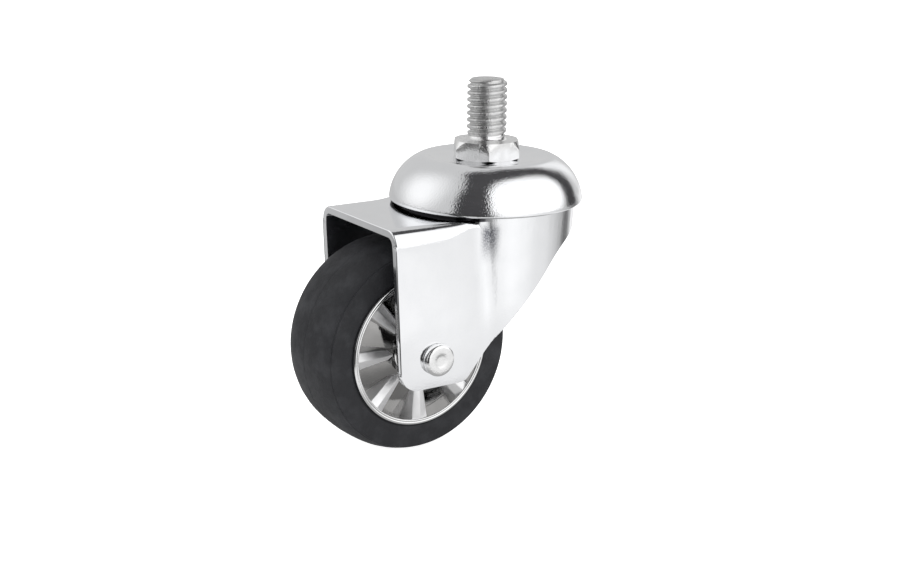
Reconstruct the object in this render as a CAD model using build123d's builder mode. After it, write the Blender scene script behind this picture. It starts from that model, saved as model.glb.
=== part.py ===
from build123d import *

import os
from math import radians, sqrt, tan

# Swivel castor with a threaded stem, in millimetres.
# The origin is on the swivel axis, in the face that the threaded stem is screwed up to.
# +Z runs up the stem, the wheel trails towards -X, and the axle lies along Y.

# Stem and kingpin
THREAD_RADIUS = 4.7625
THREAD_LENGTH = 14.4
THREAD_CHAMFER = 0.9
HEX_ACROSS_FLATS = 15.0
HEX_HEIGHT = 4.3
HEX_FACE_RADIUS = 7.4
HEX_CROWN_ANGLE = 60.0
HEX_FOOT_ANGLE = 45.0
SHANK_RADIUS = 5.0
SHANK_FIT = 0.05
KINGPIN_RADIUS = 4.0
PEEN_RADIUS = 6.2
PEEN_HEIGHT = 1.5
PEEN_EDGE = 0.3

# Dome cover
DOME_RADIUS = 23.27
DOME_SHEET = 1.3
DOME_DISH_RADIUS = 10.6
DOME_CREST_RISE = 0.6
DOME_CREST_BEND = 4.0
DOME_FLANK_BEND = 12.05
DOME_RIM_OVERRUN = 1.3
DOME_RIM_DEPTH = 9.3
DOME_RIM_ROUND = 0.5

# Swivel bearing
UPPER_BALL_RADIUS = 2.0
UPPER_PITCH_RADIUS = 13.2
UPPER_BALL_COUNT = 16
LOWER_BALL_RADIUS = 1.5
LOWER_PITCH_RADIUS = 8.6
LOWER_BALL_COUNT = 14
TRACK_DEPTH = 0.75
BALL_CLEARANCE = 0.03
RACE_SHEET = 2.0
RACE_BEND = 1.5
RACE_HUB_RADIUS = 8.8
RACE_SHOULDER_RADIUS = 10.8
RACE_LIP_CLEARANCE = 0.5
RACE_LIP_GAP = 0.5
LOWER_RACE_CHAMFER = 0.5

# Fork
FORK_SHEET = 1.8
FORK_HALF_WIDTH = 17.2
FORK_REAR_DRAFT = 3.0
FORK_VALLEY_RADIUS = 3.5
FORK_BEND_RADIUS = 3.6
FORK_FRONT = 35.5
FORK_FRONT_LEAN = 2.7
FORK_TOP_GAP = 1.5
FORK_CROWN_RISE = 2.7
FORK_CROWN_BEND = 2.2
FORK_CROWN_CLEARANCE = 0.57
FORK_CROWN_RELIEF = 0.02
FORK_HEIGHT = 37.9
FORK_FOOT_LENGTH = 17.1
FORK_FRONT_CORNER = 4.6
FORK_REAR_CORNER = 3.0
FORK_SLOPE = 50.5
FORK_SKIRT_DEPTH = 5.7
FORK_SKIRT_BLEND = 17.0
FORK_EDGE_ROLL = 0.4
FORK_HOLE_CLEARANCE = 1.0

# Axle
TRAIL = 24.5
AXLE_ABOVE_FOOT = 6.8
AXLE_RADIUS = 3.0
AXLE_FIT = 0.05
AXLE_HEAD_RADIUS = 3.55
AXLE_HEAD_HEIGHT = 2.0
AXLE_HEAD_EDGE = 0.8
AXLE_PEEN_HEIGHT = 1.3
SLEEVE_WALL = 1.0
WASHER_RADIUS = 6.0
WASHER_THICKNESS = 0.8
WASHER_FIT = 0.1

# Wheel
WHEEL_RADIUS = 25.4
TREAD_HALF_WIDTH = 10.2
TREAD_CROWN_HALF_WIDTH = 6.0
TREAD_CROWN_DROP = 0.4
TREAD_SHOULDER_DROP = 2.2
TREAD_EDGE = 0.4
RIM_RADIUS = 18.0
RIM_LIP = 1.3
RIM_LIP_PROUD = 0.5
RIM_LIP_EDGE = 0.3
RIM_BARREL_RADIUS = 17.2
RIM_GROOVE_HALF_WIDTH = 8.8
WEB_ROOT_DEPTH = 4.6
WEB_TOP_RADIUS = 7.6
WEB_TOP_DEPTH = 0.9
HUB_RADIUS = 6.4
HUB_FIT = 0.06
HUB_SIDE_PLAY = 0.15
SPOKE_COUNT = 8
SPOKE_ROOT_WIDTH = 1.8
SPOKE_TIP_WIDTH = 3.0
SPOKE_TIP_DEPTH = 0.2
SPOKE_FLANK_ANGLE = 24.0
MOULD_FIT = 0.02

# Levels down the swivel axis
HEX_SEAT = -HEX_HEIGHT
DOME_UNDERSIDE = HEX_SEAT - DOME_SHEET
DOME_RIM = HEX_SEAT - DOME_RIM_DEPTH
FORK_TOP = DOME_RIM - FORK_TOP_GAP
FORK_UNDERSIDE = FORK_TOP - FORK_SHEET
CROWN_TOP = FORK_TOP + FORK_CROWN_RISE
CROWN_UNDERSIDE = CROWN_TOP - FORK_SHEET
UPPER_BALL_LEVEL = CROWN_TOP - TRACK_DEPTH + UPPER_BALL_RADIUS
UPPER_RACE_FACE = UPPER_BALL_LEVEL + UPPER_BALL_RADIUS - TRACK_DEPTH
LOWER_BALL_LEVEL = CROWN_UNDERSIDE + TRACK_DEPTH - LOWER_BALL_RADIUS
LOWER_RACE_FACE = LOWER_BALL_LEVEL - LOWER_BALL_RADIUS + TRACK_DEPTH
LOWER_RACE_UNDERSIDE = LOWER_RACE_FACE - RACE_SHEET
FORK_FOOT = FORK_TOP - FORK_HEIGHT
AXLE_LEVEL = FORK_FOOT + AXLE_ABOVE_FOOT

# Radius of the fork's round back, which runs inside the dome's rim
FORK_REAR_RADIUS = DOME_RADIUS - DOME_SHEET - FORK_CROWN_CLEARANCE

# Widths across the axle
LEG_INSIDE = FORK_HALF_WIDTH - FORK_SHEET
SLEEVE_RADIUS = AXLE_RADIUS + AXLE_FIT + SLEEVE_WALL
HUB_HALF_LENGTH = LEG_INSIDE - WASHER_THICKNESS - HUB_SIDE_PLAY
RIM_HALF_WIDTH = TREAD_HALF_WIDTH + RIM_LIP_PROUD
LIP_INSIDE = RIM_RADIUS - RIM_LIP

AXLE_AXIS = Axis((-TRAIL, 0, AXLE_LEVEL), (0, 1, 0))
AXLE_SECTION = Plane(origin=(-TRAIL, 0, AXLE_LEVEL), x_dir=(0, 1, 0), z_dir=(-1, 0, 0))

os.makedirs("parts", exist_ok=True)


def write(piece, name):
    """Label a finished piece and write it as its own STEP file."""
    piece.part.label = name
    export_step(piece.part, f"parts/{name}.step")


def make_stem():
    """Threaded stem, hexagon, kingpin and peened end, cold headed as one piece."""
    corner = HEX_ACROSS_FLATS / sqrt(3)
    crown_drop = (corner - HEX_FACE_RADIUS) * tan(radians(HEX_CROWN_ANGLE))
    foot_rise = (corner - HEX_FACE_RADIUS) * tan(radians(HEX_FOOT_ANGLE))
    peen_bottom = LOWER_RACE_UNDERSIDE - PEEN_HEIGHT
    with BuildPart() as stem:
        with BuildSketch(Plane.XY.offset(HEX_SEAT)):
            RegularPolygon(corner, 6)
        extrude(amount=HEX_HEIGHT)
        with BuildSketch(Plane.XZ):
            with BuildLine():
                Polyline(
                    (0, 0),
                    (HEX_FACE_RADIUS, 0),
                    (corner, -crown_drop),
                    (corner, HEX_SEAT + foot_rise),
                    (HEX_FACE_RADIUS, HEX_SEAT),
                    (0, HEX_SEAT),
                    close=True,
                )
            make_face()
        revolve(axis=Axis.Z, mode=Mode.INTERSECT)
        with BuildSketch(Plane.XZ):
            with BuildLine():
                Polyline(
                    (0, peen_bottom),
                    (0, THREAD_LENGTH),
                    (THREAD_RADIUS - THREAD_CHAMFER, THREAD_LENGTH),
                    (THREAD_RADIUS, THREAD_LENGTH - THREAD_CHAMFER),
                    (THREAD_RADIUS, HEX_SEAT / 2),
                    (SHANK_RADIUS, HEX_SEAT / 2),
                    (SHANK_RADIUS, LOWER_RACE_FACE),
                    (KINGPIN_RADIUS, LOWER_RACE_FACE),
                    (KINGPIN_RADIUS, LOWER_RACE_UNDERSIDE),
                    (PEEN_RADIUS, LOWER_RACE_UNDERSIDE),
                    (PEEN_RADIUS, LOWER_RACE_UNDERSIDE - PEEN_EDGE),
                )
                TangentArc(
                    (0, peen_bottom),
                    (PEEN_RADIUS, LOWER_RACE_UNDERSIDE - PEEN_EDGE),
                    tangent=(1, 0),
                )
            make_face()
        revolve(axis=Axis.Z)
    return stem


def make_dome_cover():
    """Pressed dome: flat seat under the hexagon, shallow dish, rolled crest and long flank."""
    flank_x = DOME_RADIUS - sqrt(DOME_FLANK_BEND**2 - DOME_RIM_OVERRUN**2)
    flank_z = DOME_RIM - DOME_RIM_OVERRUN
    crest_z = HEX_SEAT + DOME_CREST_RISE
    bend_gap = DOME_FLANK_BEND - DOME_CREST_BEND
    bend_rise = crest_z - DOME_CREST_BEND - flank_z
    bend_x = flank_x + sqrt(bend_gap**2 - bend_rise**2)
    touch = Vector(bend_x - flank_x, bend_rise).normalized() * DOME_FLANK_BEND
    dish_middle = ((DOME_DISH_RADIUS + bend_x) / 2, HEX_SEAT + DOME_CREST_RISE / 2)
    with BuildPart() as dome:
        with BuildSketch(Plane.XZ) as section:
            with BuildLine():
                seat = Line((SHANK_RADIUS + SHANK_FIT, HEX_SEAT), (DOME_DISH_RADIUS, HEX_SEAT))
                dish = TangentArc(seat @ 1, dish_middle, tangent=(1, 0))
                rise = TangentArc(dish @ 1, (bend_x, crest_z), tangent=dish % 1)
                crest = TangentArc(rise @ 1, (flank_x + touch.X, flank_z + touch.Y), tangent=(1, 0))
                TangentArc(crest @ 1, (DOME_RADIUS, DOME_RIM), tangent=crest % 1)
                offset(amount=DOME_SHEET, side=Side.RIGHT)
            make_face()
            fillet(section.vertices().sort_by(Axis.Y)[0:2], DOME_RIM_ROUND)
        revolve(axis=Axis.Z)
    return dome


def track_groove(pitch, level, ball):
    """Ring of round section that cuts a ball track."""
    with BuildPart() as groove:
        with BuildSketch(Plane.XZ):
            with Locations((pitch, level)):
                Circle(ball + BALL_CLEARANCE)
        revolve(axis=Axis.Z)
    return groove.part


def track_ridge(pitch, level, ball, sheet, low, high):
    """The swelling that a pressed ball track leaves on the sheet's other side, between two levels."""
    with BuildPart() as ridge:
        with BuildSketch(Plane.XZ):
            with Locations((pitch, level)):
                Circle(ball + BALL_CLEARANCE + sheet)
            with Locations((pitch, (low + high) / 2)):
                Rectangle(4 * (ball + sheet), high - low, mode=Mode.INTERSECT)
        revolve(axis=Axis.Z)
    return ridge.part


def make_upper_race():
    """Pressed race under the dome: flat hub, drawn wall, ball track and a lip down round the balls."""
    top = UPPER_RACE_FACE + RACE_SHEET
    lip_inside = UPPER_PITCH_RADIUS + UPPER_BALL_RADIUS + RACE_LIP_CLEARANCE
    lip_outside = lip_inside + RACE_SHEET
    groove = track_groove(UPPER_PITCH_RADIUS, UPPER_BALL_LEVEL, UPPER_BALL_RADIUS)
    ridge = track_ridge(
        UPPER_PITCH_RADIUS, UPPER_BALL_LEVEL, UPPER_BALL_RADIUS, RACE_SHEET,
        UPPER_RACE_FACE + RACE_SHEET / 2, top + UPPER_BALL_RADIUS,
    )
    with BuildPart() as race:
        with BuildSketch(Plane.XZ) as section:
            with BuildLine():
                Polyline(
                    (SHANK_RADIUS + SHANK_FIT, DOME_UNDERSIDE),
                    (RACE_HUB_RADIUS, DOME_UNDERSIDE),
                    (RACE_SHOULDER_RADIUS, top),
                    (lip_outside, top),
                    (lip_outside, CROWN_TOP + RACE_LIP_GAP),
                    (lip_inside, CROWN_TOP + RACE_LIP_GAP),
                    (lip_inside, UPPER_RACE_FACE),
                    (RACE_SHOULDER_RADIUS - RACE_SHEET, UPPER_RACE_FACE),
                    (RACE_HUB_RADIUS - RACE_SHEET, DOME_UNDERSIDE - RACE_SHEET),
                    (SHANK_RADIUS + SHANK_FIT, DOME_UNDERSIDE - RACE_SHEET),
                    close=True,
                )
            make_face()
            for bend in ((RACE_HUB_RADIUS, DOME_UNDERSIDE), (lip_outside, top)):
                fillet(section.vertices().sort_by_distance(bend)[0], RACE_BEND)
        revolve(axis=Axis.Z)
        add(ridge)
        add(groove, mode=Mode.SUBTRACT)
    return race


def make_lower_race():
    """Lower race, clamped between the kingpin's step and its peened end."""
    groove = track_groove(LOWER_PITCH_RADIUS, LOWER_BALL_LEVEL, LOWER_BALL_RADIUS)
    with BuildPart() as race:
        with BuildSketch(Plane.XY.offset(LOWER_RACE_UNDERSIDE)):
            Circle(LOWER_PITCH_RADIUS + LOWER_BALL_RADIUS + LOWER_RACE_CHAMFER * 2)
            Circle(KINGPIN_RADIUS + SHANK_FIT, mode=Mode.SUBTRACT)
        extrude(amount=RACE_SHEET)
        rim = race.edges().filter_by(GeomType.CIRCLE).sort_by(SortBy.RADIUS)[-2:]
        chamfer(rim, LOWER_RACE_CHAMFER)
        add(groove, mode=Mode.SUBTRACT)
    return race


def make_ball(pitch, level, radius, turn):
    """One loose bearing ball in its track."""
    with BuildPart() as ball:
        with Locations(Location((0, 0, level), (0, 0, turn)) * Location((pitch, 0, 0))):
            Sphere(radius)
    return ball


def channel(half_width, rear_radius, valley_radius, top, bend, front):
    """One skin of the pressed fork: a flat-sided channel that runs into a tapered round back."""
    depth = FORK_HEIGHT + 2 * FORK_SHEET
    foot_radius = rear_radius - depth * tan(radians(FORK_REAR_DRAFT))
    with BuildPart() as form:
        with Locations((0, 0, top)):
            Cone(foot_radius, rear_radius, depth, align=(Align.CENTER, Align.CENTER, Align.MAX))
            Box(front, 2 * half_width, depth, align=(Align.MAX, Align.CENTER, Align.MAX))
        upright = [e for e in form.edges() if e.bounding_box().size.Z > FORK_HEIGHT]
        valleys = [e for e in upright if -rear_radius < e.center().X < 0]
        fillet(valleys, valley_radius)
        shoulder = form.faces().sort_by(Axis.Z)[-1].edges().sort_by(Axis.X)[1:]
        fillet(shoulder, bend)
    return form.part


def fork_crown(rear_radius, top, bend):
    """One skin of the raised round crown over the fork's back, with the taper that the back has."""
    depth = FORK_HEIGHT + FORK_CROWN_RISE + 2 * FORK_SHEET
    taper = tan(radians(FORK_REAR_DRAFT))
    top_radius = rear_radius + FORK_CROWN_RISE * taper
    with BuildPart() as form:
        with Locations((0, 0, top)):
            Cone(
                top_radius - depth * taper, top_radius, depth,
                align=(Align.CENTER, Align.CENTER, Align.MAX),
            )
        fillet(form.edges().sort_by(Axis.Z)[-1], bend)
    return form.part


def make_fork():
    """Pressed fork: two legs, round back with a cut-away skirt, and ball tracks in its top."""
    skin = channel(
        FORK_HALF_WIDTH, FORK_REAR_RADIUS, FORK_VALLEY_RADIUS, FORK_TOP, FORK_BEND_RADIUS,
        FORK_FRONT + FORK_SHEET,
    )
    hollow = channel(
        LEG_INSIDE, FORK_REAR_RADIUS - FORK_SHEET, FORK_VALLEY_RADIUS + FORK_SHEET, FORK_UNDERSIDE,
        FORK_BEND_RADIUS - FORK_SHEET, FORK_FRONT + 2 * FORK_SHEET,
    )
    crown_skin = fork_crown(FORK_REAR_RADIUS, CROWN_TOP, FORK_CROWN_BEND)
    crown_hollow = fork_crown(
        FORK_REAR_RADIUS - FORK_SHEET + FORK_CROWN_RELIEF, CROWN_UNDERSIDE,
        FORK_CROWN_BEND - FORK_SHEET,
    )
    upper_groove = track_groove(UPPER_PITCH_RADIUS, UPPER_BALL_LEVEL, UPPER_BALL_RADIUS)
    upper_ridge = track_ridge(
        UPPER_PITCH_RADIUS, UPPER_BALL_LEVEL, UPPER_BALL_RADIUS, FORK_SHEET,
        CROWN_UNDERSIDE - UPPER_BALL_RADIUS, CROWN_UNDERSIDE + FORK_SHEET / 2,
    )
    lower_groove = track_groove(LOWER_PITCH_RADIUS, LOWER_BALL_LEVEL, LOWER_BALL_RADIUS)
    lower_ridge = track_ridge(
        LOWER_PITCH_RADIUS, LOWER_BALL_LEVEL, LOWER_BALL_RADIUS, FORK_SHEET,
        CROWN_TOP - FORK_SHEET / 2, CROWN_TOP + LOWER_BALL_RADIUS,
    )
    toe = -FORK_FRONT + FORK_HEIGHT * tan(radians(FORK_FRONT_LEAN))
    heel = toe + FORK_FOOT_LENGTH
    skirt = FORK_TOP - FORK_SKIRT_DEPTH
    skirt_start = heel + (skirt - FORK_FOOT) / tan(radians(FORK_SLOPE))
    with BuildPart() as fork:
        add(skin)
        add(crown_skin)
        with BuildSketch(Plane.XZ) as side:
            with BuildLine():
                Polyline(
                    (-FORK_FRONT, CROWN_TOP),
                    (-FORK_FRONT, FORK_TOP),
                    (toe, FORK_FOOT),
                    (heel, FORK_FOOT),
                    (skirt_start, skirt),
                    (FORK_REAR_RADIUS + FORK_SHEET, skirt),
                    (FORK_REAR_RADIUS + FORK_SHEET, CROWN_TOP),
                    close=True,
                )
            make_face()
            foot = side.vertices().group_by(Axis.Y)[0].sort_by(Axis.X)
            fillet(foot[0], FORK_FRONT_CORNER)
            heel_corner = side.vertices().sort_by_distance((heel, FORK_FOOT))[0]
            fillet(heel_corner, FORK_REAR_CORNER)
            blend_corner = side.vertices().sort_by_distance((skirt_start, skirt))[0]
            fillet(blend_corner, FORK_SKIRT_BLEND)
        extrude(amount=FORK_REAR_RADIUS + FORK_SHEET, both=True, mode=Mode.INTERSECT)
        sheared = fork.edges(Select.LAST)
        front_top = sheared.filter_by(Axis.Y).sort_by(Axis.Z)[-1]
        fillet(sheared.filter_by(Axis.Y, reverse=True) + [front_top], FORK_EDGE_ROLL)
        add(hollow, mode=Mode.SUBTRACT)
        add(crown_hollow, mode=Mode.SUBTRACT)
        add(upper_ridge)
        add(upper_groove, mode=Mode.SUBTRACT)
        add(lower_ridge)
        add(lower_groove, mode=Mode.SUBTRACT)
        with BuildSketch(Plane.XY.offset(CROWN_UNDERSIDE - FORK_SHEET)):
            Circle(SHANK_RADIUS + FORK_HOLE_CLEARANCE)
        extrude(amount=4 * FORK_SHEET, mode=Mode.SUBTRACT)
        with BuildSketch(Plane.XZ):
            with Locations((-TRAIL, AXLE_LEVEL)):
                Circle(AXLE_RADIUS + AXLE_FIT)
        extrude(amount=FORK_HALF_WIDTH + FORK_SHEET, both=True, mode=Mode.SUBTRACT)
    return fork


def make_axle():
    """Axle rivet: headed on the near side, peened over on the far side."""
    near = -FORK_HALF_WIDTH - AXLE_HEAD_HEIGHT
    far = FORK_HALF_WIDTH + AXLE_PEEN_HEIGHT
    with BuildPart() as axle:
        with BuildSketch(AXLE_SECTION) as section:
            with BuildLine():
                Polyline(
                    (near, 0),
                    (near, AXLE_HEAD_RADIUS),
                    (-FORK_HALF_WIDTH, AXLE_HEAD_RADIUS),
                    (-FORK_HALF_WIDTH, AXLE_RADIUS),
                    (FORK_HALF_WIDTH, AXLE_RADIUS),
                    (FORK_HALF_WIDTH, AXLE_HEAD_RADIUS),
                    (FORK_HALF_WIDTH + PEEN_EDGE, AXLE_HEAD_RADIUS),
                )
                TangentArc(
                    (far, 0),
                    (FORK_HALF_WIDTH + PEEN_EDGE, AXLE_HEAD_RADIUS),
                    tangent=(0, 1),
                )
                Line((far, 0), (near, 0))
            make_face()
            fillet(section.vertices().sort_by_distance((near, AXLE_HEAD_RADIUS))[0], AXLE_HEAD_EDGE)
        revolve(axis=AXLE_AXIS)
    return axle


def make_ring(inner, outer, start, end):
    """Plain ring round the axle, from one place along it to another."""
    with BuildPart() as ring:
        with BuildSketch(AXLE_SECTION):
            with Locations(((start + end) / 2, (inner + outer) / 2)):
                Rectangle(end - start, outer - inner)
        revolve(axis=AXLE_AXIS)
    return ring


def make_tread():
    """Crowned tyre moulded round the rim's barrel and behind its lips."""
    shoulder = WHEEL_RADIUS - TREAD_SHOULDER_DROP
    crown = (TREAD_CROWN_HALF_WIDTH, WHEEL_RADIUS - TREAD_CROWN_DROP)
    with BuildPart() as tread:
        with BuildSketch(AXLE_SECTION) as section:
            with BuildLine():
                middle = TangentArc((0, WHEEL_RADIUS), crown, tangent=(1, 0))
                TangentArc(middle @ 1, (TREAD_HALF_WIDTH, shoulder), tangent=middle % 1)
                Polyline(
                    (TREAD_HALF_WIDTH, shoulder),
                    (TREAD_HALF_WIDTH, RIM_RADIUS + MOULD_FIT),
                    (RIM_GROOVE_HALF_WIDTH - MOULD_FIT, RIM_RADIUS + MOULD_FIT),
                    (RIM_GROOVE_HALF_WIDTH - MOULD_FIT, RIM_BARREL_RADIUS + MOULD_FIT),
                    (0, RIM_BARREL_RADIUS + MOULD_FIT),
                    (0, WHEEL_RADIUS),
                )
            make_face()
            fillet(section.vertices().sort_by_distance((TREAD_HALF_WIDTH, shoulder))[0], TREAD_EDGE)
            mirror(about=Plane.YZ)
        revolve(axis=AXLE_AXIS)
    return tread


def make_spoke():
    """One raised spoke with bevelled flanks, wider and prouder where it meets the rim's lip."""
    web_top = TREAD_HALF_WIDTH - WEB_TOP_DEPTH
    web_root = TREAD_HALF_WIDTH - WEB_ROOT_DEPTH
    stations = (
        (WEB_TOP_RADIUS, SPOKE_ROOT_WIDTH, web_top, web_root),
        (LIP_INSIDE + RIM_LIP, SPOKE_TIP_WIDTH, TREAD_HALF_WIDTH - SPOKE_TIP_DEPTH, web_root - 1),
    )
    with BuildPart() as spoke:
        for reach, width, crest, foot in stations:
            spread = (crest - foot) * tan(radians(SPOKE_FLANK_ANGLE))
            place = Plane(origin=(-TRAIL + reach, 0, AXLE_LEVEL), x_dir=(0, 0, 1), z_dir=(1, 0, 0))
            with BuildSketch(place):
                with BuildLine():
                    Polyline(
                        (-width / 2, crest),
                        (width / 2, crest),
                        (width / 2 + spread, foot),
                        (-width / 2 - spread, foot),
                        close=True,
                    )
                make_face()
        loft(ruled=True)
        with BuildSketch(Plane.XZ):
            with Locations((-TRAIL, AXLE_LEVEL)):
                Circle((LIP_INSIDE + RIM_BARREL_RADIUS) / 2)
        extrude(amount=TREAD_HALF_WIDTH, both=True, mode=Mode.INTERSECT)
    return spoke


def make_rim():
    """Moulded rim: hub, conical webs, a ring of spokes on each face and bright lips."""
    web_top = TREAD_HALF_WIDTH - WEB_TOP_DEPTH
    web_root = TREAD_HALF_WIDTH - WEB_ROOT_DEPTH
    bore = SLEEVE_RADIUS + HUB_FIT
    spoke = make_spoke()
    with BuildPart() as rim:
        with BuildSketch(AXLE_SECTION) as section:
            with BuildLine():
                Polyline(
                    (0, bore),
                    (HUB_HALF_LENGTH, bore),
                    (HUB_HALF_LENGTH, HUB_RADIUS),
                    (web_top, HUB_RADIUS),
                    (web_top, WEB_TOP_RADIUS),
                    (web_root, LIP_INSIDE),
                    (RIM_HALF_WIDTH, LIP_INSIDE),
                    (RIM_HALF_WIDTH, RIM_RADIUS),
                    (RIM_GROOVE_HALF_WIDTH, RIM_RADIUS),
                    (RIM_GROOVE_HALF_WIDTH, RIM_BARREL_RADIUS),
                    (0, RIM_BARREL_RADIUS),
                    close=True,
                )
            make_face()
            fillet(section.vertices().group_by(Axis.X)[-1].sort_by(Axis.Y)[0:2], RIM_LIP_EDGE)
            mirror(about=Plane.YZ)
        revolve(axis=AXLE_AXIS)
        for step in range(SPOKE_COUNT):
            turned = spoke.part.rotate(AXLE_AXIS, step * 360 / SPOKE_COUNT)
            add(turned)
            add(turned.mirror(Plane.XZ))
    return rim


write(make_stem(), "stem")
write(make_dome_cover(), "dome_cover")
write(make_upper_race(), "upper_race")
write(make_lower_race(), "lower_race")
for number in range(UPPER_BALL_COUNT):
    turn = 360 * number / UPPER_BALL_COUNT
    ball = make_ball(UPPER_PITCH_RADIUS, UPPER_BALL_LEVEL, UPPER_BALL_RADIUS, turn)
    write(ball, f"upper_ball_{number + 1:02d}")
for number in range(LOWER_BALL_COUNT):
    turn = 360 * number / LOWER_BALL_COUNT
    ball = make_ball(LOWER_PITCH_RADIUS, LOWER_BALL_LEVEL, LOWER_BALL_RADIUS, turn)
    write(ball, f"lower_ball_{number + 1:02d}")
write(make_fork(), "fork")
write(make_axle(), "axle")
write(make_ring(AXLE_RADIUS + AXLE_FIT, SLEEVE_RADIUS, -LEG_INSIDE, LEG_INSIDE), "axle_sleeve")
washer_bore = SLEEVE_RADIUS + WASHER_FIT
washer_face = LEG_INSIDE - WASHER_THICKNESS
write(make_ring(washer_bore, WASHER_RADIUS, -LEG_INSIDE, -washer_face), "near_washer")
write(make_ring(washer_bore, WASHER_RADIUS, washer_face, LEG_INSIDE), "far_washer")
write(make_tread(), "tread")
write(make_rim(), "rim")
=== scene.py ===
# %% [markdown]
# # A plated swivel castor, built as a lesson
# The solids of this castor come from its CAD model and stay where they are. This lesson gives them the
# looks of the real thing: a chromed dome and fork, a zinc plated stem with a rolled thread, a matt black
# tread and a bright plated rim. The scene is in metres, and outlines are given in millimetres. The swivel
# axis is Z, the wheel trails towards -X, and the axle lies along Y.

# %% Load the fixed frame
from math import atan2, cos, hypot, pi, radians, sin, sqrt, tan

import bmesh
import bpy
from mathutils import Matrix, Vector


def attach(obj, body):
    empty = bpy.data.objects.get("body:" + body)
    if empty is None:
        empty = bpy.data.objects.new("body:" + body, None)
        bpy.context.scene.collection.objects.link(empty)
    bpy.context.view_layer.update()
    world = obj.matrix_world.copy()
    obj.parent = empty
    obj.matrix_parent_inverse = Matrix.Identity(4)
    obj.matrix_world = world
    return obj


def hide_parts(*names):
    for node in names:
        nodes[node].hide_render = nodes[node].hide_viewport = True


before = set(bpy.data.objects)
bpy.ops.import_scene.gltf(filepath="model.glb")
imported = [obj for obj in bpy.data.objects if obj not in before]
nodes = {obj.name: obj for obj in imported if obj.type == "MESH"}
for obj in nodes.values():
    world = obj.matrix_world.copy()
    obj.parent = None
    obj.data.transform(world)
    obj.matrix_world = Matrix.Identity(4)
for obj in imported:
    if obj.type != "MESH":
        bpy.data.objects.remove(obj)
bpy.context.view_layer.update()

MM = 0.001
AXLE = Vector((-24.5, 0, -46.2)) * MM

# %% [markdown]
# ## The camera
# A camera is a place, a direction and a lens. The photograph was taken a little to the left of the near
# leg and a little above the dome, from about 36 cm away. A 60 mm lens on a 36 mm sensor gives the same
# perspective. The direction is built from its azimuth, elevation and roll, so that it can be read and
# changed by hand.

# %% Camera
AZIMUTH, ELEVATION, ROLL = radians(-33.2685), radians(16.0232), radians(0.6816)
camera_data = bpy.data.cameras.new("camera")
camera = bpy.data.objects.new("camera", camera_data)
bpy.context.scene.collection.objects.link(camera)
bpy.context.scene.camera = camera
camera_data.lens = 60
camera_data.sensor_width = 36
camera_data.clip_start, camera_data.clip_end = 0.01, 10
turn = (
    Matrix.Rotation(AZIMUTH, 4, "Z")
    @ Matrix.Rotation(pi / 2 - ELEVATION, 4, "X")
    @ Matrix.Rotation(ROLL, 4, "Z")
)
camera.matrix_world = Matrix.Translation(Vector((-201.1703, -291.5626, 63.5396)) * MM) @ turn
print("camera at", [round(v, 3) for v in camera.matrix_world.translation])

# %% [markdown]
# ## Small helpers
# A turned piece starts as one outline in the XZ plane. The spin operator carries it once round an axis,
# and merges the last step with the first. An arc in an outline is worked out from its centre, as on a
# drawing.

# %% Outlines and turned pieces
def arc(centre, radius, start, end, steps):
    """Points along an arc of an outline, with both ends; angles are in degrees, anticlockwise from +X."""
    angles = [radians(start + (end - start) * i / steps) for i in range(steps + 1)]
    return [(centre[0] + radius * cos(a), centre[1] + radius * sin(a)) for a in angles]


def turned(outline, steps, closed=True):
    """A bmesh of an outline (radius, height) in millimetres, spun once round Z."""
    bm = bmesh.new()
    verts = [bm.verts.new((r * MM, 0, z * MM)) for r, z in outline]
    pairs = list(zip(verts, verts[1:])) + ([(verts[-1], verts[0])] if closed else [])
    edges = [bm.edges.new(pair) for pair in pairs]
    bmesh.ops.spin(
        bm, geom=verts + edges, cent=(0, 0, 0), axis=(0, 0, 1),
        angle=2 * pi, steps=steps, use_merge=True,
    )
    bmesh.ops.remove_doubles(bm, verts=bm.verts, dist=0.001 * MM)
    bmesh.ops.recalc_face_normals(bm, faces=bm.faces)
    return bm


# %% Finished pieces
def piece(name, bm, body, material, sharp=35, replaces=()):
    """Turns a bmesh into an object that rides on a body, shaded smooth up to a sharp angle."""
    for face in bm.faces:
        face.smooth = True
    for edge in bm.edges:
        edge.smooth = len(edge.link_faces) == 2 and edge.calc_face_angle(0) < radians(sharp)
    mesh = bpy.data.meshes.new(name)
    bm.to_mesh(mesh)
    bm.free()
    obj = bpy.data.objects.new(name, mesh)
    bpy.context.scene.collection.objects.link(obj)
    mesh.materials.append(material)
    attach(obj, body)
    if replaces:
        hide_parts(*replaces)
    print(name, "has", len(mesh.polygons), "faces")
    return obj


def onto_axle(bm):
    """Moves a piece that was spun round Z so that its axis lies along the axle, with +Z turned to -Y."""
    bmesh.ops.rotate(bm, verts=bm.verts, cent=(0, 0, 0), matrix=Matrix.Rotation(pi / 2, 3, "X"))
    bmesh.ops.translate(bm, verts=bm.verts, vec=AXLE)


# %% [markdown]
# ## Finishes
# Plated metal is never perfectly even. Polishing leaves faint waves, the plating has a fine orange peel,
# and handling leaves dull smears. These effects are shared, so each is a node group that is built once,
# with named inputs and outputs, and placed in every material with its own values.

# %% Node group helpers
def new_group(name, inputs, outputs):
    """An empty shader node group with float inputs, and outputs given as (name, socket type)."""
    group = bpy.data.node_groups.new(name, "ShaderNodeTree")
    group.interface.new_socket("Place", in_out="INPUT", socket_type="NodeSocketVector")
    for label, default in inputs:
        socket = group.interface.new_socket(label, in_out="INPUT", socket_type="NodeSocketFloat")
        socket.default_value = default
    for label, kind in outputs:
        group.interface.new_socket(label, in_out="OUTPUT", socket_type=kind)
    return group, group.nodes.new("NodeGroupInput"), group.nodes.new("NodeGroupOutput")


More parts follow.
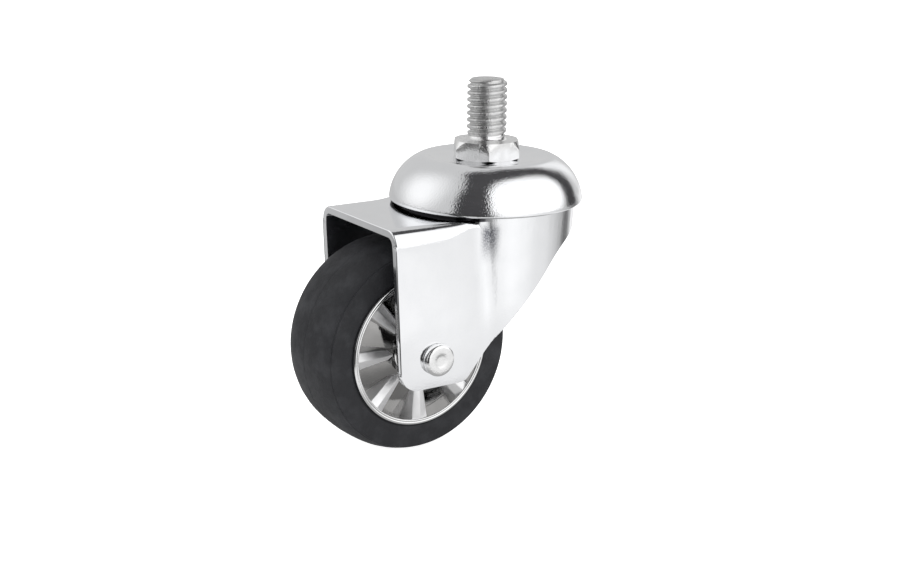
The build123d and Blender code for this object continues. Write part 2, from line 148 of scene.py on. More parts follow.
def math_node(tree, operation, a, b):
    """A Math node; each input is a socket or a number."""
    node = tree.nodes.new("ShaderNodeMath")
    node.operation = operation
    for slot, value in zip(node.inputs, (a, b)):
        if isinstance(value, (int, float)):
            slot.default_value = value
        else:
            tree.links.new(value, slot)
    return node.outputs[0]


def noise_node(tree, place, scale, detail):
    """A Noise texture read at a place, with its scale a socket or a number."""
    node = tree.nodes.new("ShaderNodeTexNoise")
    tree.links.new(place, node.inputs["Vector"])
    node.inputs["Detail"].default_value = detail
    if isinstance(scale, (int, float)):
        node.inputs["Scale"].default_value = scale
    else:
        tree.links.new(scale, node.inputs["Scale"])
    return node.outputs[0]


def soft_step(tree, source, low, high):
    """A soft step from 0 to 1 as a socket goes from one value to another."""
    node = tree.nodes.new("ShaderNodeMapRange")
    node.interpolation_type = "SMOOTHSTEP"
    node.inputs["From Min"].default_value = low
    node.inputs["From Max"].default_value = high
    tree.links.new(source, node.inputs["Value"])
    return node.outputs["Result"]


# %% Group: plating ripple
ripple, given, result = new_group(
    "Plating ripple",
    [("Wave scale", 90), ("Peel scale", 2600), ("Peel share", 0.12)],
    [("Height", "NodeSocketFloat")],
)
wave = noise_node(ripple, given.outputs["Place"], given.outputs["Wave scale"], 1)
peel = noise_node(ripple, given.outputs["Place"], given.outputs["Peel scale"], 2)
share = math_node(ripple, "MULTIPLY", peel, given.outputs["Peel share"])
ripple.links.new(math_node(ripple, "ADD", wave, share), result.inputs["Height"])
print("plating ripple group:", len(ripple.nodes), "nodes")

# %% Group: handling smears
smears, given, result = new_group(
    "Handling smears",
    [("Scale", 160), ("Least", 0.06), ("Most", 0.2)],
    [("Roughness", "NodeSocketFloat"), ("Mask", "NodeSocketFloat")],
)
cloud = noise_node(smears, given.outputs["Place"], given.outputs["Scale"], 6)
ramp = smears.nodes.new("ShaderNodeMapRange")
ramp.inputs["From Min"].default_value = 0.35
ramp.inputs["From Max"].default_value = 0.7
smears.links.new(cloud, ramp.inputs["Value"])
smears.links.new(given.outputs["Least"], ramp.inputs["To Min"])
smears.links.new(given.outputs["Most"], ramp.inputs["To Max"])
smears.links.new(ramp.outputs["Result"], result.inputs["Roughness"])
smears.links.new(cloud, result.inputs["Mask"])
print("handling smears group:", len(smears.nodes), "nodes")

# %% [markdown]
# Two places on the fork have light and shade painted into their colour. Under the dome the plate lies in
# deep shade, so its colour is painted nearly black there. At the top of the hollow between leg and back a
# dark, speckled patch is painted, which stands for a dark reflection in the chrome. Each is a mask made of
# soft steps between two places along an axis, in metres, multiplied together.

# %% Group: painted shade under the dome
shade_under_dome, given, result = new_group("Painted shade under the dome", [], [("Mask", "NodeSocketFloat")])
axes = shade_under_dome.nodes.new("ShaderNodeSeparateXYZ")
shade_under_dome.links.new(given.outputs["Place"], axes.inputs["Vector"])
flat = shade_under_dome.nodes.new("ShaderNodeVectorMath")
flat.operation = "MULTIPLY"
flat.inputs[1].default_value = (1, 1, 0)
shade_under_dome.links.new(given.outputs["Place"], flat.inputs[0])
reach = shade_under_dome.nodes.new("ShaderNodeVectorMath")
reach.operation = "LENGTH"
shade_under_dome.links.new(flat.outputs["Vector"], reach.inputs[0])
on_top = soft_step(shade_under_dome, axes.outputs["Z"], -0.0154, -0.0152)
towards_wheel = soft_step(shade_under_dome, axes.outputs["X"], -0.0105, -0.0125)
inside_dome = soft_step(shade_under_dome, reach.outputs["Value"], 0.0231, 0.0224)
front_part = math_node(shade_under_dome, "MULTIPLY", on_top, towards_wheel)
under = math_node(shade_under_dome, "MULTIPLY", front_part, inside_dome)
shade_under_dome.links.new(under, result.inputs["Mask"])
print("recess group:", len(shade_under_dome.nodes), "nodes")

# %% Group: painted reflection in the valley
valley_painted_reflection, given, result = new_group("Painted reflection in the valley", [], [("Mask", "NodeSocketFloat")])
axes = valley_painted_reflection.nodes.new("ShaderNodeSeparateXYZ")
valley_painted_reflection.links.new(given.outputs["Place"], axes.inputs["Vector"])
mark = noise_node(valley_painted_reflection, given.outputs["Place"], 3600, 2)
for axis, low, high in (
    ("Z", -0.0262, -0.0178), ("X", -0.0136, -0.0118), ("X", -0.0082, -0.0106), ("Z", -0.0152, -0.0178),
):
    mark = math_node(valley_painted_reflection, "MULTIPLY", mark, soft_step(valley_painted_reflection, axes.outputs[axis], low, high))
speckle = valley_painted_reflection.nodes.new("ShaderNodeMapRange")
speckle.inputs["From Max"].default_value = 0.62
speckle.inputs["To Max"].default_value = 0.92
valley_painted_reflection.links.new(mark, speckle.inputs["Value"])
valley_painted_reflection.links.new(speckle.outputs["Result"], result.inputs["Mask"])
print("painted valley reflection group:", len(valley_painted_reflection.nodes), "nodes")


# %% Material helper
def plated(name, light, dark, least, most, ripple_depth, scale=160, peel=0.12, wave=90):
    """A plated metal: two close greys, uneven gloss and a shallow ripple, all on object coordinates."""
    material = bpy.data.materials.new(name)
    material.use_nodes = True
    tree = material.node_tree
    shader = tree.nodes["Principled BSDF"]
    place = tree.nodes.new("ShaderNodeTexCoord").outputs["Object"]
    gloss = tree.nodes.new("ShaderNodeGroup")
    gloss.node_tree = smears
    gloss.inputs["Scale"].default_value = scale
    gloss.inputs["Least"].default_value = least
    gloss.inputs["Most"].default_value = most
    tree.links.new(place, gloss.inputs["Place"])
    tree.links.new(gloss.outputs["Roughness"], shader.inputs["Roughness"])
    tone = tree.nodes.new("ShaderNodeMix")
    tone.data_type = "RGBA"
    tone.inputs["A"].default_value = (*light, 1)
    tone.inputs["B"].default_value = (*dark, 1)
    tree.links.new(gloss.outputs["Mask"], tone.inputs["Factor"])
    tree.links.new(tone.outputs["Result"], shader.inputs["Base Color"])
    shader.inputs["Metallic"].default_value = 1
    skin = tree.nodes.new("ShaderNodeGroup")
    skin.node_tree = ripple
    skin.inputs["Wave scale"].default_value = wave
    skin.inputs["Peel share"].default_value = peel
    tree.links.new(place, skin.inputs["Place"])
    bump = tree.nodes.new("ShaderNodeBump")
    bump.inputs["Distance"].default_value = ripple_depth
    tree.links.new(skin.outputs["Height"], bump.inputs["Height"])
    tree.links.new(bump.outputs["Normal"], shader.inputs["Normal"])
    return material


def marked(material, group, colour):
    """Mixes one more colour into a material, where the mask of a node group says so."""
    tree = material.node_tree
    shader = tree.nodes["Principled BSDF"]
    mask = tree.nodes.new("ShaderNodeGroup")
    mask.node_tree = group
    tree.links.new(tree.nodes["Texture Coordinate"].outputs["Object"], mask.inputs["Place"])
    mix = tree.nodes.new("ShaderNodeMix")
    mix.data_type = "RGBA"
    mix.inputs["B"].default_value = (*colour, 1)
    tree.links.new(mask.outputs["Mask"], mix.inputs["Factor"])
    tree.links.new(shader.inputs["Base Color"].links[0].from_socket, mix.inputs["A"])
    tree.links.new(mix.outputs["Result"], shader.inputs["Base Color"])


# %% Metals
chrome = plated("chrome plate", (0.93, 0.935, 0.95), (0.86, 0.87, 0.885), 0.04, 0.14, 0.00028)
fork_chrome = plated("fork chrome", (0.93, 0.935, 0.95), (0.84, 0.85, 0.865), 0.05, 0.15, 0.0002, 160, 0.05)
# Painted shade: the plate under the dome is coloured nearly black where the dome shades it.
marked(fork_chrome, shade_under_dome, (0.05, 0.05, 0.055))
# Painted reflection: a dark speckled patch at the top of the valley stands for the dark reflection there.
marked(fork_chrome, valley_painted_reflection, (0.09, 0.095, 0.12))
# Dull unplated steel, darkened far past real steel as painted shade for the gap under the dome.
bare_steel_and_painted_shade = plated("bare steel and painted shade", (0.12, 0.12, 0.125), (0.05, 0.05, 0.05), 0.35, 0.6, 0.0001, 300)
zinc = plated("zinc plate", (0.78, 0.78, 0.775), (0.6, 0.6, 0.6), 0.24, 0.46, 0.0002, 700, 0.5)
rivet = plated("rivet steel", (0.93, 0.93, 0.93), (0.76, 0.76, 0.76), 0.1, 0.24, 0.00014, 500, 0.3)
spoke_plate = plated("spoke plating", (0.97, 0.97, 0.975), (0.9, 0.9, 0.905), 0.36, 0.5, 0.0001, 300, 0.05)
rim_plate = plated("rim plating", (0.9, 0.9, 0.9), (0.8, 0.8, 0.8), 0.03, 0.09, 0.0002, 200, 0.05)
# The webs' dark grey is painted shade and dark reflection for the recess between hub and lips.
web_plating_painted_shade = plated("web plating with painted shade", (0.36, 0.355, 0.35), (0.22, 0.217, 0.213), 0.03, 0.1, 0.0002, 200, 0.05)
race_steel = plated("race steel", (0.42, 0.42, 0.42), (0.2, 0.2, 0.2), 0.25, 0.5, 0.0001, 300)
hex_zinc = plated("hexagon zinc", (0.95, 0.95, 0.95), (0.7, 0.7, 0.7), 0.12, 0.3, 0.00012, 400, 0.3)
ball_steel = plated("ball steel", (0.85, 0.85, 0.86), (0.7, 0.7, 0.72), 0.05, 0.12, 0.00005, 300)
metals = (
    chrome, fork_chrome, bare_steel_and_painted_shade, zinc, hex_zinc, rivet,
    rim_plate, web_plating_painted_shade, spoke_plate, race_steel, ball_steel,
)
print("metals:", [metal.name for metal in metals])

# %% [markdown]
# ## Rubber
# The tread is moulded, matt and a little blue. Its surface is a fine grain with dust and dull places in
# it. A low specular level keeps it from shining, because rubber scatters most of the light.

# %% Tread rubber
rubber = bpy.data.materials.new("tread rubber")
rubber.use_nodes = True
tree = rubber.node_tree
shader = tree.nodes["Principled BSDF"]
place = tree.nodes.new("ShaderNodeTexCoord").outputs["Object"]
dust = tree.nodes.new("ShaderNodeMapRange")
dust.inputs["From Min"].default_value = 0.45
dust.inputs["From Max"].default_value = 0.8
tree.links.new(noise_node(tree, place, 220, 8), dust.inputs["Value"])
tone = tree.nodes.new("ShaderNodeMix")
tone.data_type = "RGBA"
tone.inputs["A"].default_value = (0.013, 0.0135, 0.016, 1)
tone.inputs["B"].default_value = (0.03, 0.031, 0.035, 1)
tree.links.new(dust.outputs["Result"], tone.inputs["Factor"])
tree.links.new(tone.outputs["Result"], shader.inputs["Base Color"])
dull = tree.nodes.new("ShaderNodeMapRange")
dull.inputs["To Min"].default_value = 0.5
dull.inputs["To Max"].default_value = 0.75
tree.links.new(noise_node(tree, place, 900, 4), dull.inputs["Value"])
tree.links.new(dull.outputs["Result"], shader.inputs["Roughness"])
shader.inputs["Specular IOR Level"].default_value = 0.35
bump = tree.nodes.new("ShaderNodeBump")
bump.inputs["Distance"].default_value = 0.00006
tree.links.new(noise_node(tree, place, 2400, 3), bump.inputs["Height"])
tree.links.new(bump.outputs["Normal"], shader.inputs["Normal"])
print("rubber:", len(tree.nodes), "nodes")

# %% [markdown]
# ## The dome
# The cover is one pressing: a flat seat under the hexagon, a shallow dish, a rolled crest and a long
# flank. Chrome shows every facet, so the dome is spun in fine steps from the outline of arcs that the
# press tool has.

# %% Dome cover
SEAT, SHEET = -4.3, 1.3
flank, crest = (11.2903, -14.9), (14.8907, -7.7)
FLANK_RADIUS, CREST_RADIUS = 12.05, 4.0
RIM_ANGLE, MEETING_ANGLE = 6.19, 63.43
outer = (
    [(5.05, SEAT), (10.6, SEAT), (11.4, SEAT + 0.09), (12.8, SEAT + 0.3), (14.2, SEAT + 0.51)]
    + arc(crest, CREST_RADIUS, 90, MEETING_ANGLE, 14)
    + arc(flank, FLANK_RADIUS, MEETING_ANGLE, RIM_ANGLE, 48)[1:]
)
inner = (
    arc(flank, FLANK_RADIUS - SHEET, RIM_ANGLE, MEETING_ANGLE, 40)
    + arc(crest, CREST_RADIUS - SHEET, MEETING_ANGLE, 90, 10)[1:]
    + [(14.2, SEAT + 0.51 - SHEET), (12.8, SEAT + 0.3 - SHEET), (10.6, SEAT - SHEET), (5.05, SEAT - SHEET)]
)
rim_middle = ((outer[-1][0] + inner[0][0]) / 2, (outer[-1][1] + inner[0][1]) / 2)
bm = turned(outer + arc(rim_middle, SHEET / 2, 0, -180, 10)[1:-1] + inner, 240)
dome = piece("dome", bm, "stem_head", chrome, 60, ["dome_cover"])
# Faces under the dome get the dull dark steel: partly bare steel, partly painted shade for the gap under the
# rim.
dome.data.materials.append(bare_steel_and_painted_shade)
for face in dome.data.polygons:
    outward = face.normal.dot(Vector((face.center.x, face.center.y, 0)))
    if face.normal.z < -0.75 or (face.normal.z < 0.3 and outward < 0):
        face.material_index = 1
print("bare faces under the dome:", sum(face.material_index for face in dome.data.polygons))

# %% [markdown]
# ## The stem
# The real stem is cold headed in one blow and its thread is rolled, so the crests are rounded and the
# thread fades out above the hexagon. The body is a ring of points that is extruded down the axis and
# reshaped at each level: round at the neck, six-sided at the hexagon, round again at the kingpin. The
# thread is one tooth that is spun and lifted by one pitch a turn, which is how a rolling die travels.

# %% Stem body
HALF_WIDTH, CROWN, HEX_FOOT = 7.5, 7.75, -4.3


def hexagon_radius(angle):
    """Distance from the axis to the hexagon's side, with corners on the X axis."""
    return HALF_WIDTH / cos((angle % (pi / 3)) - pi / 6)


def stem_point(level, angle):
    """Radius and height of one level of the stem body."""
    side = hexagon_radius(angle)
    past = max(0, side - CROWN)
    if level == "face":
        return side - past, 0
    if level == "crown":
        return side, -past * tan(radians(65))
    if level == "foot":
        return side, HEX_FOOT + past * tan(radians(24))
    if level == "base":
        return side - past, HEX_FOOT
    return level


bm = bmesh.new()
ring = bmesh.ops.create_circle(bm, cap_ends=False, segments=144, radius=4.2 * MM)["verts"]
edges = list({edge for vert in ring for edge in vert.link_edges})
levels = [(4.2, 1.6), (4.35, 0.9), (4.75, 0.35), (5.3, 0.06), (5.8, 0), "face", "crown", "foot", "base"]
kingpin = [(5, HEX_FOOT), (5, -15.7), (4, -15.7), (4, -17.7)]
peened_end = [(6.2, -17.7), (6.2, -18.0), (5.6, -18.5), (4.2, -18.95), (2.2, -19.15)]
levels += kingpin + peened_end
for level in levels:
    if level != levels[0]:
        grown = bmesh.ops.extrude_edge_only(bm, edges=edges)["geom"]
        ring = [item for item in grown if isinstance(item, bmesh.types.BMVert)]
        edges = [item for item in grown if isinstance(item, bmesh.types.BMEdge)]
    for vert in ring:
        angle = atan2(vert.co.y, vert.co.x)
        radius, height = stem_point(level, angle)
        vert.co = Vector((radius * cos(angle), radius * sin(angle), height)) * MM
bmesh.ops.holes_fill(bm, edges=bm.edges, sides=0)
bmesh.ops.remove_doubles(bm, verts=bm.verts, dist=0.002 * MM)
bmesh.ops.recalc_face_normals(bm, faces=bm.faces)
creases = [
    edge for edge in bm.edges
    if len(edge.link_faces) == 2
    and edge.calc_face_angle(0) > radians(25)
    and -4.5 * MM < edge.verts[0].co.z < 0
]
bmesh.ops.bevel(
    bm, geom=creases, offset=0.09 * MM, offset_type="OFFSET", segments=2, profile=0.5,
    affect="EDGES", material=-1, clamp_overlap=True,
)
piece("stem_body", bm, "stem_head", hex_zinc, 30, ["stem"])

# %% Rolled thread
PITCH, TURNS, STEPS_A_TURN = 1.5875, 10, 72
TOP, BOTTOM, CHAMFER = 14.4, 0.3, 0.9
ROOT, NECK, CREST = 3.97, 4.4, 4.76
RUN_OUT_FROM, RUN_OUT_LENGTH = 0.6, 1.6
rising = [(ROOT, 0), (4.0, 0.11), (4.58, 0.4), (4.71, 0.49), (CREST, 0.6)]
falling = [(CREST, 0.99), (4.71, 1.1), (4.58, 1.19), (4.0, 1.48), (ROOT, PITCH)]
tooth = rising + falling
bm = bmesh.new()
verts = [bm.verts.new((r * MM, 0, (z - PITCH) * MM)) for r, z in tooth]
edges = [bm.edges.new(pair) for pair in zip(verts, verts[1:])]
bmesh.ops.spin(
    bm, geom=verts + edges, cent=(0, 0, 0), axis=(0, 0, 1), dvec=(0, 0, PITCH / STEPS_A_TURN * MM),
    angle=2 * pi * TURNS, steps=TURNS * STEPS_A_TURN,
)
bmesh.ops.remove_doubles(bm, verts=bm.verts, dist=0.002 * MM)
for level, side in ((TOP, 1), (BOTTOM, -1)):
    bmesh.ops.bisect_plane(
        bm, geom=bm.verts[:] + bm.edges[:] + bm.faces[:], dist=0.0001 * MM,
        plane_co=(0, 0, level * MM), plane_no=(0, 0, side), clear_outer=True,
    )
for vert in bm.verts:
    radius, height = hypot(vert.co.x, vert.co.y) / MM, vert.co.z / MM
    fade = min(1, max(0, (height - RUN_OUT_FROM) / RUN_OUT_LENGTH))
    wanted = min(NECK + (radius - NECK) * fade, CREST - max(0, height - (TOP - CHAMFER)))
    vert.co.x *= wanted / radius
    vert.co.y *= wanted / radius
bmesh.ops.holes_fill(bm, edges=bm.edges, sides=0)
bmesh.ops.recalc_face_normals(bm, faces=bm.faces)
piece("thread", bm, "stem_head", zinc, 50)

# %% [markdown]
# ## The fork
# A press draws steel softer than a drawing shows it. On the real fork the bend along the top edge gets
# sharper towards the round back, the leg leans in a little above a slanting fold, and the leg runs into
# the back in a wide hollow. A merged copy of the CAD fork is cut into a fine grid, and both of its skins
# are moved together, so that the sheet keeps its thickness. Points that lie on flat facets of the copy, a
# little inside the real curve, are first pulled onto it. Lengths are in millimetres.

# %% Fork outline in plan
LEG, BACK, FORK_TOP, SHEET_STEEL, TAPER = 17.2, 21.4, -15.1, 1.8, radians(3)
CAD_BEND, CAD_VALLEY, VALLEY = 3.6, 3.5, 8.0
FRONT, FOLD_FRONT, FOLD_RISE, LEAN = 34.5, -20.6, 0.06, 0.1
BEND_FRONT, BEND_DROP, BEND_RISE, BEND_END = 3.3, 2.0, 2.3, -11.5
CHORD = 0.45


def smooth(value, low, high):
    """A soft step from 0 to 1 between two values."""
    share = min(1, max(0, (value - low) / (high - low)))
    return share * share * (3 - 2 * share)


def plan(x, z, inset, valley):
    """How far a skin stands from the fork's middle plane, with a hollow between flat leg and round back."""
    back = BACK - inset + (min(z, FORK_TOP) - FORK_TOP) * tan(TAPER)
    width, root = LEG - inset, valley + inset
    start = -sqrt((back + root) ** 2 - (width + root) ** 2)
    touch = start * back / (back + root)
    if x <= start:
        return width
    if x < touch:
        return width + root - sqrt(root**2 - (x - start) ** 2)
    return sqrt(max(0, back**2 - x**2))


def corner_depth(across, radius):
    """How deep a rounded corner lies, along both sides together, at a distance across its diagonal."""
    return 2 * radius - sqrt(2 * radius**2 - across**2) if abs(across) < radius else abs(across)


def drawn(x, reach, z):
    """The place of a fork point after drawing: its new distance from the middle plane and its new height."""
    along, down = plan(x, z, 0, CAD_VALLEY) - reach, FORK_TOP - z
    across = along - down
    outside = corner_depth(across, CAD_BEND)
    inside = 2 * SHEET_STEEL + corner_depth(across, CAD_BEND - SHEET_STEEL)
    inset = 0 if along + down < (outside + inside) / 2 else SHEET_STEEL
    radius = BEND_FRONT - BEND_DROP * smooth(x, -22, -14.5) + BEND_RISE * smooth(x, -13.8, BEND_END)
    new_depth = corner_depth(across, max(0.3, radius - inset))
    shift = (new_depth - corner_depth(across, CAD_BEND - inset)) / 2 if x < BEND_END else 0
    wall = 1 - smooth(along, 2.5, 6)
    hollow = plan(x, z, inset, VALLEY) - plan(x, z, inset, CAD_VALLEY)
    if down > CAD_BEND and abs(reach - plan(x, z, inset, CAD_VALLEY)) < CHORD:
        reach = plan(x, z, inset, CAD_VALLEY)
    above = max(0, z - (FOLD_FRONT + FOLD_RISE * (x + FRONT)))
    rounded = above**2 / 2 if above < 1 else above - 0.5
    lean = LEAN * rounded * (1 - smooth(x, -24, -17)) * wall
    return reach - shift - lean + hollow * wall * smooth(down, 0, 3), z - shift


# %% Drawn fork
bm = bmesh.new()
bm.from_mesh(nodes["fork"].data)
bmesh.ops.remove_doubles(bm, verts=bm.verts, dist=0.002 * MM)
for normal, cuts in ((Vector((1, 0, 0)), range(-35, 15)), (Vector((0, 0, 1)), range(-52, -12))):
    for cut in cuts:
        bmesh.ops.bisect_plane(
            bm, geom=bm.verts[:] + bm.edges[:] + bm.faces[:], dist=0.0001 * MM,
            plane_co=normal * cut * MM, plane_no=normal,
        )
moved = 0
for vert in bm.verts:
    x, y, z = vert.co / MM
    if x < 14 and abs(y) > 9 and z > -53.5:
        reach, height = drawn(x, abs(y), z)
        moved = max(moved, abs(reach - abs(y)))
        vert.co.y = reach * MM * (1 if y > 0 else -1)
        vert.co.z = height * MM
piece("drawn_fork", bm, "fork", fork_chrome, 35, ["fork"])
print("furthest move of a fork point:", round(moved, 2), "mm")

# %% [markdown]
# ## The axle
# A rivet holds the wheel. Its near end is a plain head with a turned-over edge, and its far end was
# peened into a low dome. Both are turned shapes, so one outline is spun and laid along the axle.

# %% Axle rivet
head = (
    [(0, 18.98), (0.9, 18.99), (1.35, 19.03), (1.6, 19.12), (2.2, 19.17), (2.7, 19.15)]
    + arc((2.95, 18.3), 0.85, 80, 0, 12)
    + [(3.8, 17.5), (3.68, 17.3), (3.5, 17.2), (3.0, 17.2)]
)
peened = [(3.0, -17.2), (3.5, -17.2), (3.55, -17.3), (3.45, -17.6)]
peened += [(2.9, -18.0), (1.9, -18.35), (0.9, -18.48), (0, -18.5)]
bm = turned(head + peened, 96, closed=False)
onto_axle(bm)
piece("axle_rivet", bm, "fork", rivet, 40, ["axle"])

# %% [markdown]
# ## The wheel
# The tread is moulded round the rim. It is turned from its crowned outline, with a faint raised line
# where the two halves of the mould met and a crisp edge at each shoulder that catches the light.

# %% Tread
half = (
    [(25.4, 0), (25.4, 0.07), (25.36, 0.1), (25.37, 0.2)]
    + [(25.36, 1.0), (25.31, 2.5), (25.18, 4.4), (24.98, 6.0), (24.6, 7.6), (24.18, 8.8), (23.86, 9.5)]
    + [(23.8, 9.6), (23.68, 9.62), (23.6, 9.68), (23.58, 9.8), (23.56, 9.94), (23.48, 10.04), (23.36, 10.08)]
    + [(22.9, 10.1), (19.4, 10.16), (18.75, 10.14), (18.45, 10.05), (18.25, 9.85), (18.06, 9.8)]
    + [(18.04, 8.78), (17.22, 8.78)]
)
bm = turned(half + [(r, -z) for r, z in reversed(half[1:])], 240)
onto_axle(bm)
piece("tyre", bm, "wheel", rubber, 24, ["tread"])

# %% [markdown]
# The rim is one moulding with bright plating. Its hub, cone-shaped webs and lips are turned, and the
# spokes are tapered bars with a low ridge, which splits the light in two. A spoke starts as the section
# at its hub end, is extruded to the rim, copied round the axle and mirrored to the far face.

# %% Rim body
near = (
    [(4.11, 14.4), (4.16, 14.45), (6.25, 14.45), (6.4, 14.3), (6.4, 9.5), (6.6, 9.34)]
    + [(7.4, 9.3), (7.7, 9.22), (16.4, 5.7), (16.62, 5.66), (16.7, 5.8), (16.7, 10.2)]
    + arc((17.02, 10.3), 0.32, 180, 60, 6)
    + arc((17.55, 10.22), 0.45, 140, 20, 10)
    + [(18.0, 10.2), (18.0, 8.8), (17.2, 8.8)]
)
bm = turned(near + [(r, -z) for r, z in reversed(near)], 192)
onto_axle(bm)
rim_body = piece("rim_body", bm, "wheel", rim_plate, 30, ["rim"])
# Painted shade: the recessed webs get a much darker plating than the rest of the same moulding.
rim_body.data.materials.append(web_plating_painted_shade)
WEB_FROM, WEB_TO, LIP_FACE = 6.6, 16.65, 10.1
for face in rim_body.data.polygons:
    arm = face.center - AXLE
    if WEB_FROM < hypot(arm.x, arm.z) / MM < WEB_TO and abs(arm.y) / MM < LIP_FACE:
        face.material_index = 1
print("web faces:", sum(face.material_index for face in rim_body.data.polygons))

# %% Spokes
def spoke_section(reach, half_width, ridge, root):
    """Five corners of a spoke's section: a low ridge, two edges below it and a wide root in the web."""
    edge, foot = ridge - 0.55, half_width + 0.9
    corners = ((-foot, root), (-half_width, edge), (0, ridge), (half_width, edge), (foot, root))
    return [Vector((reach, side, height)) * MM for side, height in corners]


bm = bmesh.new()
hub_end = bm.faces.new([bm.verts.new(place) for place in spoke_section(7.2, 1.0, 9.5, 8.3)])
grown = bmesh.ops.extrude_face_region(bm, geom=[hub_end])["geom"]
rim_end = next(item for item in grown if isinstance(item, bmesh.types.BMFace))
for vert, place in zip(rim_end.verts, spoke_section(16.95, 2.1, 10.3, 4.6)):
    vert.co = place
bmesh.ops.recalc_face_normals(bm, faces=bm.faces)
long_edges = [edge for edge in bm.edges if abs(edge.verts[0].co.x - edge.verts[1].co.x) > 5 * MM]
bmesh.ops.bevel(
    bm, geom=long_edges, offset=0.12 * MM, offset_type="OFFSET", segments=2, profile=0.5,
    affect="EDGES", material=-1,
)
one = bm.verts[:] + bm.edges[:] + bm.faces[:]
SPOKES = 8
for step in range(1, SPOKES):
    copy = bmesh.ops.duplicate(bm, geom=one)["geom"]
    bmesh.ops.rotate(
        bm, verts=[item for item in copy if isinstance(item, bmesh.types.BMVert)],
        cent=(0, 0, 0), matrix=Matrix.Rotation(step * 2 * pi / SPOKES, 3, "Z"),
    )
bmesh.ops.mirror(bm, geom=bm.verts[:] + bm.edges[:] + bm.faces[:], matrix=Matrix(), axis="Z", merge_dist=0)
bmesh.ops.recalc_face_normals(bm, faces=bm.faces)
onto_axle(bm)
piece("spokes", bm, "wheel", spoke_plate, 20)

# %% [markdown]
# ## CAD pieces that keep their shape
# The races, balls, sleeve and washers are mostly hidden. Their CAD shape is right, so they only get the
# finish of plain bearing parts. The CAD solids behind the stem, fork, axle and wheel get a finish like
# that of the piece in front of them, and the one behind the dome gets none.

# %% Finishes on CAD pieces
FINISHES = (
    ("ball", ball_steel), ("race", race_steel), ("sleeve", race_steel), ("washer", zinc), ("stem", zinc),
    ("axle", rivet), ("rim", rim_plate), ("tread", rubber), ("fork", fork_chrome),
)
finished = 0
for name, node in nodes.items():
    finish = next((material for word, material in FINISHES if word in name), None)
    if finish:
        node.data.materials.clear()
        node.data.materials.append(finish)
        finished += 1
print("finished", finished, "of", len(nodes), "CAD pieces")

# %% [markdown]
# ## Floor and lights
# The castor stands on a white light table, which glows a little so that its shadow stays faint. Chrome
# has no colour of its own and only shows what is round it, so each thing in the studio is placed by the
# direction in which the dome mirrors it: an azimuth, counted from -Y towards +X, and a distance and
# height in metres.

# %% Places in the studio
FLOOR, DOME_LEVEL = -0.0716, -0.012


def around(azimuth, distance, height):
    """A point in the studio, by its azimuth, its distance from the swivel axis and its height."""
    return Vector((distance * sin(radians(azimuth)), -distance * cos(radians(azimuth)), height))


def in_studio(name, bm, material, seen=False):
    """A floor, light panel or card, which stands in the studio and isn't part of the castor."""
    mesh = bpy.data.meshes.new(name)
    bm.to_mesh(mesh)
    bm.free()
    mesh.materials.append(material)
    obj = bpy.data.objects.new(name, mesh)
    bpy.context.scene.collection.objects.link(obj)
    obj.visible_camera = seen
    return obj


def only_mirrored(obj):
    """Hides a thing in the studio from all but glossy rays."""
    obj.visible_diffuse = obj.visible_shadow = obj.visible_transmission = False


# %% Light table
paper = bpy.data.materials.new("white table")
paper.use_nodes = True
shader = paper.node_tree.nodes["Principled BSDF"]
shader.inputs["Base Color"].default_value = (0.85, 0.85, 0.85, 1)
shader.inputs["Roughness"].default_value = 0.9
shader.inputs["Emission Color"].default_value = (1, 1, 1, 1)
shader.inputs["Emission Strength"].default_value = 0.9
bm = bmesh.new()
bmesh.ops.create_grid(bm, x_segments=1, y_segments=1, size=4)
bmesh.ops.translate(bm, verts=bm.verts, vec=(0, 0, FLOOR))
floor = in_studio("table", bm, paper, seen=True)
floor.visible_glossy = False
print("table at", FLOOR)

# %% [markdown]
# A bare white table would wash the fork out. What the chrome sees instead is a second sheet, just over
# the table and hidden from the camera: a disc shaded in wedges, white in front, grey at the sides and
# dark towards the camera, where the photographer stood. Close to the wheel it is grey, as a real table is
# in a shadow.

# %% Shaded sheet for reflections
WEDGES = (
    (-180, 0.5), (-150, 0.5), (-122, 0.22), (-92, 0.2), (-76, 0.05), (-31, 0.04), (-18, 0.9), (0, 1.0),
    (18, 0.92), (33, 0.8), (48, 0.76), (64, 0.6), (79, 0.4), (88, 0.14), (96, 0.2), (104, 0.5), (111, 0.88),
    (124, 0.8), (138, 0.52), (180, 0.5),
)
sheet = bpy.data.materials.new("shaded sheet")
sheet.use_nodes = True
tree = sheet.node_tree
tree.nodes.remove(tree.nodes["Principled BSDF"])
place = tree.nodes.new("ShaderNodeTexCoord").outputs["Object"]
quarter = tree.nodes.new("ShaderNodeMapping")
quarter.inputs["Rotation"].default_value = (0, 0, pi / 2)
tree.links.new(place, quarter.inputs["Vector"])
clock = tree.nodes.new("ShaderNodeTexGradient")
clock.gradient_type = "RADIAL"
tree.links.new(quarter.outputs["Vector"], clock.inputs["Vector"])
wedges = tree.nodes.new("ShaderNodeValToRGB")
stops = wedges.color_ramp.elements
while len(stops) < len(WEDGES):
    stops.new(0.5)
for stop, (azimuth, level) in zip(stops, WEDGES):
    stop.position = azimuth / 360 + 0.5
    stop.color = (level, level, level, 1)
tree.links.new(clock.outputs["Fac"], wedges.inputs["Fac"])
reach = tree.nodes.new("ShaderNodeVectorMath")
reach.operation = "LENGTH"
tree.links.new(place, reach.inputs[0])
close = tree.nodes.new("ShaderNodeMix")
close.inputs["A"].default_value = 0.4
close.inputs["B"].default_value = 0.84
tree.links.new(soft_step(tree, reach.outputs["Value"], 0.085, 0.1), close.inputs["Factor"])
far = tree.nodes.new("ShaderNodeMix")
tree.links.new(soft_step(tree, reach.outputs["Value"], 0.107, 0.138), far.inputs["Factor"])
tree.links.new(close.outputs["Result"], far.inputs["A"])
